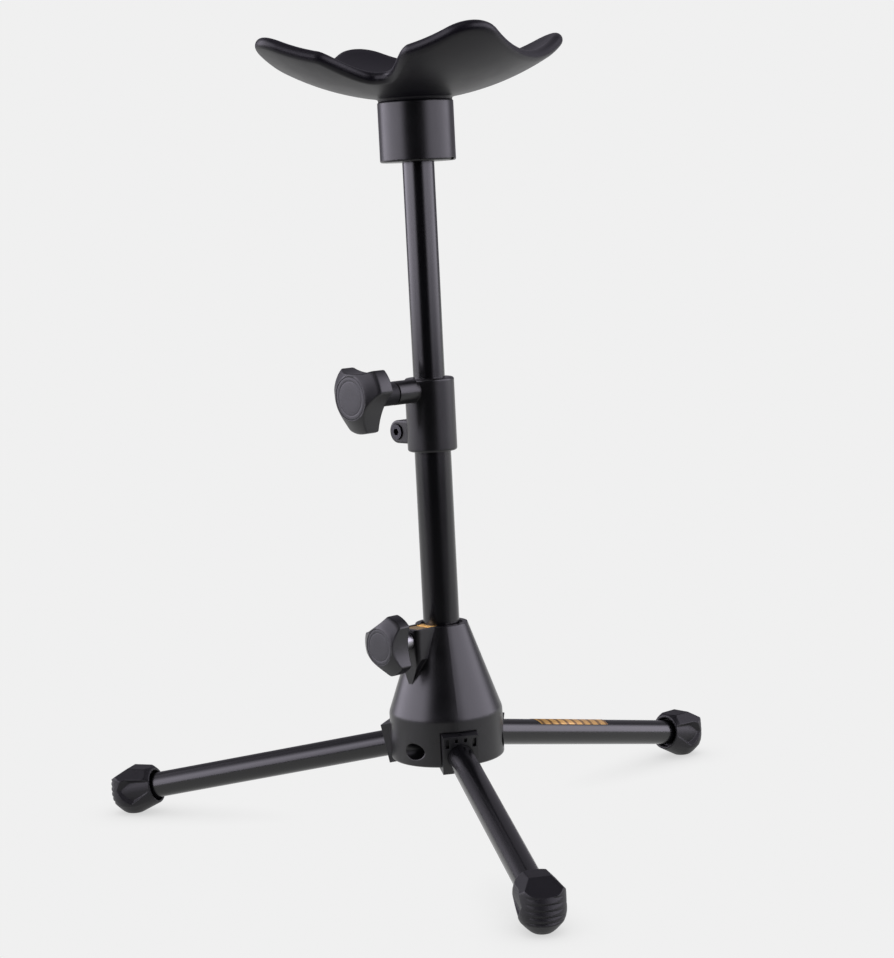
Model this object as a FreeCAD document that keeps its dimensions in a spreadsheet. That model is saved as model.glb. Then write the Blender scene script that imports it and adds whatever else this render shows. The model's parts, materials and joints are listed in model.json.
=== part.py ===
import FreeCAD, Part
import math
import os
import re

import Sketcher

# A low folding tripod stand that holds a large wind instrument on a dished cradle.
# The front leg lies along -Y, the column stands up +Z and the feet rest on Z = 0.
# The row's origin is the middle of the feet's outline on the floor.

SIZES = [
    # the column and where it stands
    ("column_offset", 53, "from the origin to the column's axis, along +Y"),
    ("clearance", 0.06, "radial play of every running fit"),
    # legs: straight tubes whose axes meet the column's axis at one height
    ("leg_apex_height", 58, "where the legs' axes meet the column's axis"),
    ("leg_slope", 11.5, "degrees down towards the foot"),
    ("leg_pivot_reach", 23, "pivot pin's distance from the column's axis"),
    ("foot_reach", 210.5, "foot's centre, from the column's axis"),
    ("leg_tube_radius", 8, ""),
    ("leg_tube_wall", 1.2, ""),
    ("leg_tube_start", 9.2, "tube's inner end, out from the pivot"),
    ("block_face", 13.6, "block's outer face, out from the pivot"),
    ("block_back", 9.5, "block's inner end, in from the pivot"),
    ("block_top", 13.3, "above the leg's axis"),
    ("block_bottom", 10.6, "below the leg's axis"),
    ("block_width", 21.5, ""),
    ("block_corner", 5, "cut across the block's inner corners"),
    ("slot_play", 0.4, "each side of a block in its slot"),
    ("pocket_depth", 2.4, "moulded pockets in the block's face"),
    ("pivot_radius", 3, ""),
    ("pivot_head_radius", 4.4, ""),
    ("pivot_head_length", 3.4, ""),
    ("pivot_half_length", 15, "pin's reach to each side of the leg"),
    ("rivet_radius", 1.6, "ties the leg's tube to its block"),
    ("rivet_place", 11.3, "out from the pivot"),
    # rubber feet
    ("foot_radius", 14.3, ""),
    ("foot_forward", 1.5, "foot's round body, out from the foot's centre"),
    ("foot_pad_radius", 6.5, "flat contact face"),
    ("foot_top", 14.4, "above the foot's centre"),
    ("foot_knee", 7.7, "top of the upright outer face"),
    ("foot_collar_radius", 11.2, ""),
    ("foot_collar_back", 14, "collar's mouth, in from the foot's centre"),
    ("foot_socket_end", 6, "socket's bottom, out from the foot's centre"),
    # printed band round the right leg
    ("band_start", 63, "out from the pivot"),
    ("band_length", 64, ""),
    ("band_thickness", 0.15, ""),
    # base housing
    ("housing_radius", 34.5, ""),
    ("housing_bottom", 44, ""),
    ("housing_shoulder", 72.5, "top of the upright wall"),
    ("housing_top", 126, ""),
    ("housing_top_radius", 15.8, ""),
    ("shoulder_blend", 9, ""),
    ("rim_blend", 1.6, ""),
    ("slot_roof", 65.3, "stops the open legs"),
    ("slot_relief", 70.8, "room above a folding block's inner end"),
    ("slot_wall", 3.2, "housing wall that the slot's roof is in"),
    ("access_radius", 5, "hole that a pivot pin goes in through"),
    ("bush_radius", 12.8, ""),
    ("bush_bottom", 74, ""),
    # clamp boss on the housing
    ("boss_reach", 27.5, "boss's outer face, from the column's axis"),
    ("boss_width", 17, ""),
    ("boss_knee", 108, "the boss narrows to a point below this"),
    ("boss_point", 89, ""),
    ("boss_blend", 3, ""),
    ("pocket_width", 13, "pocket for the nut and the pad, open at the top"),
    ("pocket_bottom", 109, ""),
    ("pocket_end", 25, "from the column's axis"),
    ("nut_start", 16.2, ""),
    ("pad_end", 14.4, "outer face of a clamp pad"),
    ("lower_knob_height", 119, ""),
    ("lower_knob_back", 37.5, "knob's rear face, from the column's axis"),
    # lower tube and its collar
    ("lower_tube_radius", 11, ""),
    ("lower_tube_wall", 1.2, ""),
    ("lower_tube_bottom", 52, ""),
    ("lower_tube_top", 257, ""),
    ("collar_radius", 14.9, ""),
    ("collar_bottom", 231, ""),
    ("collar_top", 275, ""),
    ("collar_blend", 1.5, ""),
    ("ear_height", 242, "clamp screw's axis"),
    ("ear_reach", 23, "clamp screw, from the column's axis"),
    ("ear_radius", 7, ""),
    ("ear_width", 15, "over both ears"),
    ("ear_blend", 1, ""),
    ("split_width", 1.6, ""),
    ("ear_screw_radius", 2.5, ""),
    ("ear_head_radius", 4.6, ""),
    ("ear_head_length", 5, ""),
    ("ear_key_width", 4, "hexagon key, across its flats"),
    ("neck_radius", 7.1, ""),
    ("neck_end", 29, "from the column's axis"),
    ("upper_knob_height", 268, ""),
    ("upper_knob_back", 47, "knob's rear face, from the column's axis"),
    ("insert_radius", 5, "threaded insert in the neck"),
    ("insert_start", 18, ""),
    # knobs
    ("lower_knob_size", 0.88, "against the sizes below"),
    ("upper_knob_size", 1.03, "against the sizes below"),
    ("knob_radius", 21, "over the lobes"),
    ("knob_waist", 13.6, "between the lobes"),
    ("grip_radius", 37.7, "hollow between two lobes"),
    ("knob_thickness", 15, ""),
    ("knob_band", 9, "straight side of the lobes"),
    ("knob_disc_radius", 12.2, ""),
    ("knob_disc_depth", 1, ""),
    ("knob_hub_radius", 6.8, ""),
    ("stud_radius", 3, ""),
    ("stud_grip", 8, "stud's length inside the knob"),
    ("shank_radius", 5.4, "plain steel shank behind the lower knob"),
    # upper tube and its guide
    ("upper_tube_radius", 9.5, ""),
    ("upper_tube_wall", 1.2, ""),
    ("upper_tube_bottom", 194, ""),
    ("upper_tube_top", 434, ""),
    ("guide_length", 16, "guide's sleeve above its foot"),
    ("guide_foot", 4, ""),
    # cradle
    ("hub_radius", 22.5, ""),
    ("hub_bottom", 403, ""),
    ("hub_top", 438.5, ""),
    ("hub_blend", 1.2, ""),
    ("dish_radius", 150, "inner face, a sphere"),
    ("dish_thickness", 7.4, ""),
    ("dish_floor", 446, "lowest point of the inner face"),
    ("dish_top", 477, "level of the four raised corners"),
    ("dish_side", 148, "square outline"),
    ("dish_corner", 21.5, "outline's corner radius"),
    ("dish_turn", -35, "degrees, outline's turn about the column"),
    ("notch_radius", 16.5, "deep notches in two facing sides"),
    ("notch_depth", 23, ""),
    ("notch_blend", 12, ""),
    ("dish_screw_radius", 3, ""),
    ("dish_head_radius", 6, ""),
    ("dish_head_length", 3.3, ""),
]

LEGS = {"front": -90, "right": 30, "left": 150}
KNOB_AZIMUTH = -150
HOUSING_TURN = LEGS["front"]
UP = FreeCAD.Vector(0, 0, 1)
PIVOT_HEIGHT = "leg_apex_height - leg_pivot_reach * tan(leg_slope * 1deg)"
SPHERE_HEIGHT = "dish_floor + dish_radius"

doc = FreeCAD.newDocument("instrument_stand")
sheet = doc.addObject("Spreadsheet::Sheet", "Dims")
for row, (alias, size, note) in enumerate(SIZES, start=1):
    sheet.set("A%d" % row, alias)
    sheet.set("B%d" % row, str(size))
    sheet.set("C%d" % row, note)
    sheet.setAlias("B%d" % row, alias)
doc.recompute()

ALIASES = sorted((alias for alias, _, _ in SIZES), key=len, reverse=True)
ALIAS_PATTERN = re.compile(r"\b(%s)\b" % "|".join(ALIASES))


# ---- sizes from the sheet ----

def linked(expression):
    """The expression with each sheet name spelt out for another object's property."""
    return ALIAS_PATTERN.sub(r"Dims.\1", expression)


def value(expression):
    """The number that an expression of sheet names stands for."""
    result = doc.getObject("Dims").evalExpression(expression)
    return float(getattr(result, "Value", result))


def bind(thing, prop, expression):
    thing.setExpression(prop, linked(expression))


# ---- sketches and features ----

def new_body(label):
    body = doc.addObject("PartDesign::Body", label)
    body.Label = label
    return body


def sketch_in(body, plane, lift="0"):
    """A sketch on one of the body's own origin planes, lifted along the plane's normal."""
    sketch = body.newObject("Sketcher::SketchObject", body.Name + "_sketch")
    planes = [item for item in body.Origin.OriginFeatures if item.Role == plane]
    sketch.AttachmentSupport = [(planes[0], "")]
    sketch.MapMode = "FlatFace"
    bind(sketch, "AttachmentOffset.Base.z", lift)
    return sketch


def pin_point(sketch, line, end, x, y):
    """Holds a point at a place given by two sheet expressions."""
    for kind, expression, axis in (("DistanceX", x, -2), ("DistanceY", y, -1)):
        if expression == "0":
            sketch.addConstraint(Sketcher.Constraint("PointOnObject", line, end, axis))
            continue
        constraint = Sketcher.Constraint(kind, -1, 1, line, end, value(expression))
        index = sketch.addConstraint(constraint)
        bind(sketch, "Constraints[%d]" % index, expression)


def draw_polygon(sketch, corners):
    """A closed polygon; each corner is a pair of sheet expressions."""
    first = sketch.GeometryCount
    points = [FreeCAD.Vector(value(x), value(y), 0) for x, y in corners]
    count = len(points)
    for start, end in zip(points, points[1:] + points[:1]):
        sketch.addGeometry(Part.LineSegment(start, end), False)
    for step in range(count):
        join = ("Coincident", first + step, 2, first + (step + 1) % count, 1)
        sketch.addConstraint(Sketcher.Constraint(*join))
    for step, (x, y) in enumerate(corners):
        pin_point(sketch, first + step, 1, x, y)


def draw_circle(sketch, x, y, radius):
    centre = FreeCAD.Vector(value(x), value(y), 0)
    index = sketch.addGeometry(Part.Circle(centre, FreeCAD.Vector(0, 0, 1), value(radius)), False)
    pin_point(sketch, index, 3, x, y)
    size = sketch.addConstraint(Sketcher.Constraint("Radius", index, value(radius)))
    bind(sketch, "Constraints[%d]" % size, radius)


def add_pad(body, sketch, length, middle=False):
    pad = body.newObject("PartDesign::Pad", body.Name + "_pad")
    pad.Profile = sketch
    pad.Midplane = middle
    bind(pad, "Length", length)
    doc.recompute()
    return pad


def add_pocket(body, sketch, length, middle=False, reverse=False):
    before = body.Shape.Volume
    pocket = body.newObject("PartDesign::Pocket", body.Name + "_pocket")
    pocket.Profile = sketch
    pocket.Midplane = middle
    pocket.Reversed = reverse
    bind(pocket, "Length", length)
    doc.recompute()
    if not body.Shape.Volume < before:
        raise RuntimeError(pocket.Name + " cuts nothing")
    return pocket


def add_turn(body, sketch, cut=False):
    """Revolves a sketch of (radius, height) corners about the body's Z axis."""
    kind = "PartDesign::Groove" if cut else "PartDesign::Revolution"
    turn = body.newObject(kind, body.Name + "_turn")
    turn.Profile = sketch
    turn.ReferenceAxis = (sketch, ["V_Axis"])
    turn.Angle = 360
    doc.recompute()
    return turn


def add_pattern(body, features, count=3):
    """Repeats features evenly about the body's Z axis."""
    pattern = body.newObject("PartDesign::PolarPattern", body.Name + "_pattern")
    pattern.Originals = features
    axes = [item for item in body.Origin.OriginFeatures if item.Role == "Z_Axis"]
    pattern.Axis = (axes[0], [""])
    pattern.Angle = 360
    pattern.Occurrences = count
    body.Tip = pattern
    doc.recompute()
    return pattern


def add_blend(body, radius, wanted):
    """Fillets the edges of the body that a test picks."""
    solid = body.Tip
    picked = []
    for number, edge in enumerate(solid.Shape.Edges, start=1):
        if wanted(edge):
            picked.append("Edge%d" % number)
    blend = body.newObject("PartDesign::Fillet", body.Name + "_blend")
    blend.Base = (solid, picked)
    bind(blend, "Radius", radius)
    body.Tip = blend
    doc.recompute()
    return blend


def ring_at(height, radius):
    """A test for a full circular edge at a height, with a radius."""
    def wanted(edge):
        box = edge.BoundBox
        level = abs(box.ZMax - box.ZMin) < 0.01 and abs(box.ZMin - height) < 0.01
        return level and abs(box.XLength / 2 - radius) < 0.05
    return wanted


def upright_at(reach):
    """A test for an upright edge at a distance from the body's Z axis."""
    def wanted(edge):
        box = edge.BoundBox
        upright = box.XLength < 0.01 and box.YLength < 0.01 and box.ZLength > 1
        return upright and abs(math.hypot(box.XMin, box.YMin) - reach) < 0.05
    return wanted


# ---- placing ----

def radial_place(azimuth, height):
    """Local Z points out from the column at an azimuth, and local X points up."""
    angle = math.radians(azimuth)
    out = FreeCAD.Vector(math.cos(angle), math.sin(angle), 0)
    turn = FreeCAD.Rotation(UP, out.cross(UP), out, "ZXY")
    return FreeCAD.Placement(FreeCAD.Vector(0, value("column_offset"), height), turn)


def column_place(azimuth=0):
    return FreeCAD.Placement(
        FreeCAD.Vector(0, value("column_offset"), 0), FreeCAD.Rotation(UP, azimuth))


def leg_place(azimuth, out="0"):
    """Local X runs down the leg's axis from a point that lies out from the pivot."""
    swing = FreeCAD.Rotation(UP, azimuth)
    dip = FreeCAD.Rotation(FreeCAD.Vector(0, 1, 0), value("leg_slope"))
    pivot = FreeCAD.Vector(value("leg_pivot_reach"), 0, value(PIVOT_HEIGHT))
    start = pivot + dip.multVec(FreeCAD.Vector(value(out), 0, 0))
    base = swing.multVec(start) + FreeCAD.Vector(0, value("column_offset"), 0)
    return FreeCAD.Placement(base, swing.multiply(dip))


# ---- shapes that several pieces share ----

def turned(label, corners, place):
    """A piece turned about its local Z axis."""
    body = new_body(label)
    sketch = sketch_in(body, "XZ_Plane")
    draw_polygon(sketch, corners)
    add_turn(body, sketch)
    body.Placement = place
    return body


def tube(label, radius, wall, bottom, top, place):
    inner = "(%s) - (%s)" % (radius, wall)
    corners = [(inner, bottom), (radius, bottom), (radius, top), (inner, top)]
    return turned(label, corners, place)


def plain_pin(label, radius, start, end, place):
    """A round pin along its local Z axis."""
    pin = doc.addObject("Part::Cylinder", label)
    pin.Label = label
    bind(pin, "Radius", radius)
    bind(pin, "Height", "(%s) - (%s)" % (end, start))
    pin.Placement = place.multiply(
        FreeCAD.Placement(FreeCAD.Vector(0, 0, value(start)), FreeCAD.Rotation()))
    return pin


# ---- base ----

def make_base_housing():
    body = new_body("base_housing")
    profile = sketch_in(body, "XZ_Plane")
    draw_polygon(profile, [
        ("bush_radius", "housing_bottom"), ("housing_radius", "housing_bottom"),
        ("housing_radius", "housing_shoulder"), ("housing_top_radius", "housing_top"),
        ("bush_radius", "housing_top")])
    add_turn(body, profile)
    add_blend(body, "shoulder_blend",
              ring_at(value("housing_shoulder"), value("housing_radius")))
    add_blend(body, "rim_blend", ring_at(value("housing_bottom"), value("housing_radius")))
    cut_leg_slots(body)
    add_clamp_boss(body)
    body.Placement = column_place(HOUSING_TURN)
    return body


def cut_leg_slots(body):
    """Three slots, open below, with a pin hole and an access hole across each."""
    slot = sketch_in(body, "XZ_Plane")
    draw_polygon(slot, [
        ("bush_radius - 3", "housing_bottom - 5"), ("housing_radius + 5", "housing_bottom - 5"),
        ("housing_radius + 5", "slot_roof"), ("housing_radius - slot_wall", "slot_roof"),
        ("housing_radius - slot_wall", "slot_relief"), ("bush_radius - 3", "slot_relief")])
    slot_cut = add_pocket(body, slot, "block_width + 2 * slot_play", middle=True)
    hole = sketch_in(body, "XZ_Plane")
    draw_circle(hole, "leg_pivot_reach", PIVOT_HEIGHT, "pivot_radius")
    hole_cut = add_pocket(body, hole, "2 * pivot_half_length", middle=True)
    access = sketch_in(body, "XZ_Plane", "pivot_half_length - pivot_head_length")
    draw_circle(access, "leg_pivot_reach", PIVOT_HEIGHT, "access_radius")
    access_cut = add_pocket(body, access, "housing_radius", reverse=True)
    add_pattern(body, [slot_cut, hole_cut, access_cut])


def sketch_facing(body, turn):
    """An upright sketch through the axis; its normal points out at a turn about the axis."""
    sketch = sketch_in(body, "XZ_Plane")
    angle = math.radians(turn)
    out = FreeCAD.Vector(math.cos(angle), math.sin(angle), 0)
    across = FreeCAD.Rotation(UP.cross(out), UP, out, "ZXY")
    flat = FreeCAD.Rotation(FreeCAD.Vector(1, 0, 0), 90)
    sketch.AttachmentOffset = FreeCAD.Placement(
        FreeCAD.Vector(), flat.inverted().multiply(across))
    return sketch


def add_clamp_boss(body):
    """A shield-shaped boss at the knob's azimuth, midway between the front and left legs."""
    turn = KNOB_AZIMUTH - HOUSING_TURN
    shield = sketch_facing(body, turn)
    draw_polygon(shield, [
        ("0", "boss_point"), ("boss_width / 2", "boss_knee"), ("boss_width / 2", "housing_top"),
        ("-boss_width / 2", "housing_top"), ("-boss_width / 2", "boss_knee")])
    add_pad(body, shield, "boss_reach")
    bore = sketch_in(body, "XY_Plane", "housing_top")
    draw_circle(bore, "0", "0", "bush_radius")
    add_pocket(body, bore, "housing_top - boss_point + 1")
    corner = math.hypot(value("boss_reach"), value("boss_width / 2"))
    add_blend(body, "boss_blend", upright_at(corner))
    seat = sketch_in(body, "XY_Plane", "housing_top")
    seat.AttachmentOffset = FreeCAD.Placement(
        FreeCAD.Vector(0, 0, value("housing_top")), FreeCAD.Rotation(UP, turn))
    draw_polygon(seat, [
        ("lower_tube_radius", "-pocket_width / 2"), ("pocket_end", "-pocket_width / 2"),
        ("pocket_end", "pocket_width / 2"), ("lower_tube_radius", "pocket_width / 2")])
    add_pocket(body, seat, "housing_top - pocket_bottom")
    stud_way = sketch_facing(body, turn)
    draw_circle(stud_way, "0", "lower_knob_height", "stud_radius + 0.3")
    add_pocket(body, stud_way, "boss_reach + 5", reverse=True)


def make_base_bush():
    """Plastic liner that guides the lower tube, with a window for the clamp pad."""
    bush = turned("bush_blank", [
        ("lower_tube_radius + clearance", "bush_bottom"), ("bush_radius", "bush_bottom"),
        ("bush_radius", "housing_top - 1"), ("lower_tube_radius + clearance", "housing_top - 1")],
        column_place(KNOB_AZIMUTH))
    window = doc.addObject("Part::Box", "bush_window")
    bind(window, "Length", "bush_radius")
    bind(window, "Width", "pocket_width")
    bind(window, "Height", "housing_top - pocket_bottom")
    window.Placement = column_place(KNOB_AZIMUTH).multiply(FreeCAD.Placement(
        FreeCAD.Vector(value("lower_tube_radius / 2"), value("-pocket_width / 2"),
                       value("pocket_bottom")), FreeCAD.Rotation()))
    return cut_piece("base_bush", bush, window)


def cut_piece(label, blank, tool):
    piece = doc.addObject("Part::Cut", label)
    piece.Label = label
    piece.Base = blank
    piece.Tool = tool
    return piece


# ---- legs ----

def make_pivot(name, azimuth):
    """Headed pin across a leg's slot; its head sits in the access hole."""
    shoulder = "pivot_half_length - pivot_head_length"
    place = leg_place(azimuth).multiply(
        FreeCAD.Placement(FreeCAD.Vector(), FreeCAD.Rotation(FreeCAD.Vector(1, 0, 0), 90)))
    body = turned("leg_pivot_" + name, [
        ("0", "-pivot_half_length + 0.2"), ("pivot_radius", "-pivot_half_length + 0.2"),
        ("pivot_radius", shoulder), ("pivot_head_radius", shoulder),
        ("pivot_head_radius", "pivot_half_length"), ("0", "pivot_half_length")], place)
    driver = sketch_in(body, "XY_Plane", "pivot_half_length")
    draw_polygon(driver, [("-pivot_head_radius - 1", "-0.6"), ("pivot_head_radius + 1", "-0.6"),
                          ("pivot_head_radius + 1", "0.6"), ("-pivot_head_radius - 1", "0.6")])
    add_pocket(body, driver, "pivot_head_length / 3")
    return body


def make_leg_block(name, azimuth):
    body = new_body("leg_block_" + name)
    side = sketch_in(body, "XZ_Plane")
    draw_polygon(side, [
        ("block_face", "-block_bottom"), ("block_face", "block_top"),
        ("-block_back + 2 * block_corner", "block_top"), ("-block_back", "block_top - 2 * block_corner"),
        ("-block_back", "-block_bottom + block_corner"),
        ("-block_back + block_corner", "-block_bottom")])
    add_pad(body, side, "block_width", middle=True)
    bore = sketch_in(body, "XZ_Plane")
    draw_circle(bore, "0", "0", "pivot_radius + clearance")
    add_pocket(body, bore, "block_width + 2", middle=True)
    seat = sketch_in(body, "YZ_Plane", "leg_tube_start")
    draw_circle(seat, "0", "0", "leg_tube_radius")
    add_pocket(body, seat, "block_face", reverse=True)
    cut_face_pockets(body)
    rivet = sketch_in(body, "XY_Plane")
    draw_circle(rivet, "rivet_place", "0", "rivet_radius")
    add_pocket(body, rivet, "2 * block_top + 2", middle=True)
    body.Placement = leg_place(azimuth)
    return body


def cut_face_pockets(body):
    """Two tall and two small moulded pockets over the tube, in the block's outer face."""
    recess = sketch_in(body, "YZ_Plane", "block_face")
    for low, high, inner, outer in ((6.0, 11.6, 7.0, 9.4), (9.2, 11.6, 1.8, 3.8)):
        for side in (-1, 1):
            across = sorted((side * inner, side * outer))
            draw_polygon(recess, [
                (str(across[0]), str(low)), (str(across[1]), str(low)),
                (str(across[1]), str(high)), (str(across[0]), str(high))])
    add_pocket(body, recess, "pocket_depth")


def make_leg_tube(name, azimuth):
    """Tube from the block to the foot's socket, drilled for the rivet."""
    end = "(foot_reach - leg_pivot_reach) / cos(leg_slope * 1deg) + foot_socket_end"
    place = leg_place(azimuth).multiply(
        FreeCAD.Placement(FreeCAD.Vector(), FreeCAD.Rotation(FreeCAD.Vector(0, 1, 0), 90)))
    body = tube("leg_tube_" + name, "leg_tube_radius", "leg_tube_wall",
                "leg_tube_start", end, place)
    hole = sketch_in(body, "YZ_Plane")
    draw_circle(hole, "0", "rivet_place", "rivet_radius")
    add_pocket(body, hole, "2 * leg_tube_radius + 2", middle=True)
    return body


def make_leg_rivet(name, azimuth):
    place = leg_place(azimuth, "rivet_place")
    return plain_pin("leg_rivet_" + name, "rivet_radius", "-block_bottom", "block_top", place)


def make_foot(name, azimuth):
    """Rubber foot: a round body that stands level, and a collar along the leg."""
    reach = "(foot_reach - leg_pivot_reach) / cos(leg_slope * 1deg)"
    centre = leg_place(azimuth, reach).Base
    level = FreeCAD.Placement(centre, FreeCAD.Rotation(UP, azimuth))
    ahead = FreeCAD.Placement(FreeCAD.Vector(value("foot_forward"), 0, 0), FreeCAD.Rotation())
    floor = "-(leg_apex_height - foot_reach * tan(leg_slope * 1deg))"
    ball = turned("foot_ball_" + name, [
        ("0", floor), ("foot_pad_radius", floor), ("foot_radius * 0.78", floor + " + 2.2"),
        ("foot_radius * 0.95", floor + " + 6.5"), ("foot_radius", floor + " + 11"),
        ("foot_radius", "foot_knee"), ("foot_pad_radius", "foot_top"), ("0", "foot_top")],
        level.multiply(ahead))
    collar = doc.addObject("Part::Cone", "foot_collar_" + name)
    bind(collar, "Radius1", "foot_collar_radius")
    bind(collar, "Radius2", "foot_radius - 0.9")
    bind(collar, "Height", "foot_collar_back + foot_forward")
    lie = FreeCAD.Rotation(FreeCAD.Vector(0, 1, 0), 90)
    collar.Placement = leg_place(azimuth, reach + " - foot_collar_back").multiply(
        FreeCAD.Placement(FreeCAD.Vector(), lie))
    whole = doc.addObject("Part::Fuse", "foot_blank_" + name)
    whole.Base = ball
    whole.Tool = collar
    socket = doc.addObject("Part::Cylinder", "foot_socket_" + name)
    bind(socket, "Radius", "leg_tube_radius")
    bind(socket, "Height", "foot_collar_back + 1 + foot_socket_end")
    socket.Placement = leg_place(azimuth, reach + " - foot_collar_back - 1").multiply(
        FreeCAD.Placement(FreeCAD.Vector(), lie))
    return cut_piece("foot_" + name, whole, socket)


def make_leg_band():
    """Thin printed band over the top of the right leg's tube."""
    shell = doc.addObject("Part::Cylinder", "band_shell")
    bind(shell, "Radius", "leg_tube_radius + band_thickness")
    bind(shell, "Height", "band_length")
    shell.Angle = 110
    core = doc.addObject("Part::Cylinder", "band_core")
    bind(core, "Radius", "leg_tube_radius")
    bind(core, "Height", "band_length")
    lie = FreeCAD.Rotation(FreeCAD.Vector(0, 1, 0), 90)
    spin = FreeCAD.Rotation(UP, 180 - 55)
    for piece in (shell, core):
        piece.Placement = leg_place(LEGS["right"], "band_start").multiply(
            FreeCAD.Placement(FreeCAD.Vector(), lie.multiply(spin)))
    return cut_piece("leg_band", shell, core)


# ---- lower tube, its collar and the clamps ----

def make_tube_plug():
    inner = "lower_tube_radius - lower_tube_wall"
    return turned("lower_tube_plug", [
        ("0", "lower_tube_bottom - 1.5"), ("lower_tube_radius - 0.3", "lower_tube_bottom - 1.5"),
        ("lower_tube_radius - 0.3", "lower_tube_bottom"), (inner, "lower_tube_bottom"),
        (inner, "lower_tube_bottom + 5"), ("0", "lower_tube_bottom + 5")], column_place())


def make_clamp_collar():
    """Split collar on the lower tube, with a neck for the knob's stud."""
    body = new_body("clamp_collar")
    profile = sketch_in(body, "XZ_Plane")
    inner = "upper_tube_radius + clearance"
    draw_polygon(profile, [
        ("lower_tube_radius", "collar_bottom"), ("collar_radius", "collar_bottom"),
        ("collar_radius", "collar_top"), (inner, "collar_top"),
        (inner, "lower_tube_top"), ("lower_tube_radius", "lower_tube_top")])
    add_turn(body, profile)
    for height in ("collar_bottom", "collar_top"):
        add_blend(body, "collar_blend", ring_at(value(height), value("collar_radius")))
    neck = sketch_in(body, "YZ_Plane", "upper_tube_radius + 3")
    draw_circle(neck, "0", "upper_knob_height", "neck_radius")
    add_pad(body, neck, "neck_end - upper_tube_radius - 3")
    ear = sketch_in(body, "YZ_Plane")
    draw_circle(ear, "-ear_reach", "ear_height", "ear_radius")
    add_pad(body, ear, "ear_width", middle=True)
    web = sketch_in(body, "YZ_Plane")
    draw_polygon(web, [
        ("-lower_tube_radius - 2", "ear_height - ear_radius"),
        ("-ear_reach", "ear_height - ear_radius"), ("-ear_reach", "ear_height + ear_radius"),
        ("-lower_tube_radius - 2", "ear_height + ear_radius")])
    add_pad(body, web, "ear_width", middle=True)
    side = value("ear_width / 2")
    add_blend(body, "ear_blend", lambda edge: is_ear_rim(edge, side))
    cut_collar(body)
    body.Placement = column_place(KNOB_AZIMUTH)
    return body


def is_ear_rim(edge, side):
    """True for the edges round the flat sides of the ears."""
    box = edge.BoundBox
    flat = box.XLength < 0.01 and abs(abs(box.XMin) - side) < 0.01
    return flat and box.YMin < -value("collar_radius")


def cut_collar(body):
    """The split, the clamp screw's hole and seats, and the neck's stepped bore."""
    split = sketch_in(body, "YZ_Plane")
    draw_polygon(split, [
        ("1 - lower_tube_radius", "collar_bottom - 1"), ("-ear_reach - 9", "collar_bottom - 1"),
        ("-ear_reach - 9", "lower_tube_top - 1.5"), ("1 - lower_tube_radius", "lower_tube_top - 1.5")])
    add_pocket(body, split, "split_width", middle=True)
    screw = sketch_in(body, "YZ_Plane")
    draw_circle(screw, "-ear_reach", "ear_height", "ear_screw_radius")
    add_pocket(body, screw, "ear_width + 2", middle=True)
    head = sketch_in(body, "YZ_Plane", "ear_width / 2")
    draw_circle(head, "-ear_reach", "ear_height", "ear_head_radius + 0.2")
    add_pocket(body, head, "ear_head_length - 1")
    nut = sketch_in(body, "YZ_Plane", "-ear_width / 2")
    draw_circle(nut, "-ear_reach", "ear_height", "ear_head_radius + 0.2")
    add_pocket(body, nut, "3", reverse=True)
    bore = sketch_in(body, "YZ_Plane", "upper_tube_radius - 2")
    draw_circle(bore, "0", "upper_knob_height", "insert_radius")
    add_pocket(body, bore, "neck_end", reverse=True)


def ear_place(across):
    """Local Z runs along the clamp screw, towards the head's side."""
    place = column_place(KNOB_AZIMUTH)
    seat = FreeCAD.Vector(across, -value("ear_reach"), value("ear_height"))
    turn = FreeCAD.Rotation(FreeCAD.Vector(0, 1, 0), 90)
    return place.multiply(FreeCAD.Placement(seat, turn))


def make_ear_screw():
    """Socket-head screw through both ears."""
    top = "ear_width / 2"
    seat = "ear_width / 2 - ear_head_length + 1"
    body = turned("clamp_screw", [
        ("0", "-(%s) + 0.2" % top), ("ear_screw_radius", "-(%s) + 0.2" % top),
        ("ear_screw_radius", seat), ("ear_head_radius", seat),
        ("ear_head_radius", top + " + 1"), ("0", top + " + 1")], ear_place(0))
    key = sketch_in(body, "XY_Plane", top + " + 1")
    draw_hexagon(key, "ear_key_width")
    add_pocket(body, key, "ear_head_length / 2")
    return body


def draw_hexagon(sketch, flats):
    corners = []
    for step in range(6):
        spoke = "(%s) / 2 / cos(30deg)" % flats
        corners.append(("%s * cos(%ddeg)" % (spoke, 60 * step + 30),
                        "%s * sin(%ddeg)" % (spoke, 60 * step + 30)))
    draw_polygon(sketch, corners)


def make_ear_nut():
    """Hexagon nut let into the far ear."""
    body = new_body("clamp_nut")
    plan = sketch_in(body, "XY_Plane")
    draw_hexagon(plan, "2 * ear_head_radius * cos(30deg)")
    draw_circle(plan, "0", "0", "ear_screw_radius")
    add_pad(body, plan, "2.8")
    body.Placement = ear_place(-value("ear_width") / 2)
    return body


def make_clamp_nut():
    """Brass block in the boss's pocket, threaded for the lower knob's stud."""
    body = new_body("base_clamp_nut")
    face = sketch_in(body, "XY_Plane", "nut_start")
    low = "pocket_bottom - lower_knob_height"
    high = "housing_top - lower_knob_height - 0.3"
    draw_polygon(face, [(low, "-pocket_width / 2"), (high, "-pocket_width / 2"),
                        (high, "pocket_width / 2"), (low, "pocket_width / 2")])
    draw_circle(face, "0", "0", "stud_radius + clearance")
    add_pad(body, face, "pocket_end - nut_start")
    body.Placement = radial_place(KNOB_AZIMUTH, value("lower_knob_height"))
    return body


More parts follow.
